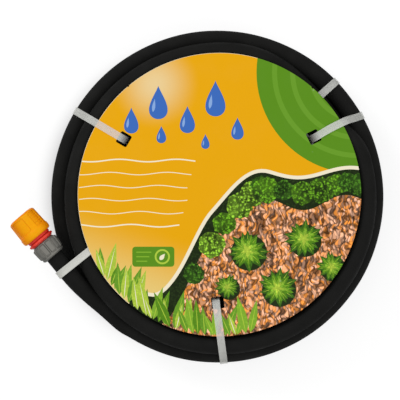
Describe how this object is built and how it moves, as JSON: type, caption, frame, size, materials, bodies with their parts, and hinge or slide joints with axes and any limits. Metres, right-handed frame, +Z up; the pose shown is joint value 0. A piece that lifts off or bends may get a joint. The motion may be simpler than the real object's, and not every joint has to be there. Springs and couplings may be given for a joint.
{
  "type": "soaker hose",
  "caption": "Porous black garden hose wound in a round roll, with a push-on tap connector, a round display card and clear ties.",
  "frame": {"origin": "on the surface that the roll lies on, under the middle of the whole outline", "axes": "+Z up through the roll's axis, from its back to the card; +X to the card's right; +Y to the card's top"},
  "size_m": [0.3738, 0.3353, 0.0828],
  "materials": {
    "hose": "matte, finely porous black rubber",
    "collar": "satin yellow moulded plastic",
    "connector": "satin red moulded plastic",
    "nut": "matte grey moulded plastic",
    "spring": "drawn spring wire",
    "claws": "smooth white acetal plastic",
    "restrictor": "matte moulded plastic",
    "grip_ring": "matte moulded plastic",
    "plug": "smooth dark rubber",
    "clip": "rolled steel strip",
    "card": "printed gloss card",
    "ties": "clear-white nylon"
  },
  "bodies": {
    "roll": {"hose_coil": "hose", "hose_tail": "hose", "hose_inlet_end": "hose", "hose_stop_end": "hose", "collar_spring": "spring", "connector_body": "connector", "flow_restrictor": "restrictor", "end_plug": "plug", "end_clip": "clip", "display_card": "card", "card_tie_left": "ties", "card_tie_right": "ties", "card_tie_bottom": "ties", "hose_tie_upper": "ties", "hose_tie_lower": "ties"},
    "collar": {"release_collar": "collar"},
    "grip": {"grip_ring": "grip_ring"},
    "nut": {"clamp_nut": "nut"},
    "claw_1": {"locking_claw_1": "claws"},
    "claw_2": {"locking_claw_2": "claws"},
    "claw_3": {"locking_claw_3": "claws"},
    "claw_4": {"locking_claw_4": "claws"}
  },
  "joints": [
    {"name": "collar_slide", "type": "slide", "parent": "roll", "child": "collar", "axis": [0.6488, -0.761, 0], "range_m": [0, 0.003], "stiffness_N_per_m": 800, "springref_m": -0.004, "deforming": ["collar_spring"]},
    {"name": "claw_1_slide", "type": "slide", "parent": "roll", "child": "claw_1", "axis": [0.5381, 0.4588, -0.7071], "range_m": [0, 0.00125]},
    {"name": "claw_2_slide", "type": "slide", "parent": "roll", "child": "claw_2", "axis": [0.5381, 0.4588, 0.7071], "range_m": [0, 0.00125]},
    {"name": "claw_3_slide", "type": "slide", "parent": "roll", "child": "claw_3", "axis": [-0.5381, -0.4588, 0.7071], "range_m": [0, 0.00125]},
    {"name": "claw_4_slide", "type": "slide", "parent": "roll", "child": "claw_4", "axis": [-0.5381, -0.4588, -0.7071], "range_m": [0, 0.00125]},
    {"name": "nut_travel", "type": "slide", "parent": "roll", "child": "grip", "axis": [0.6488, -0.761, 0], "range_m": [0, 0.005]},
    {"name": "nut_turn", "type": "hinge", "parent": "grip", "child": "nut", "pos_m": [-0.14865, -0.05206, 0.0666], "axis": [0.6488, -0.761, 0], "range_deg": [0, 720]}
  ],
  "couplings": [
    {"joint": "claw_1_slide", "follows": "collar_slide", "ratio": 0.4},
    {"joint": "claw_2_slide", "follows": "collar_slide", "ratio": 0.4},
    {"joint": "claw_3_slide", "follows": "collar_slide", "ratio": 0.4},
    {"joint": "claw_4_slide", "follows": "collar_slide", "ratio": 0.4},
    {"joint": "nut_turn", "follows": "nut_travel", "rad_per_m": 2513.3}
  ]
}
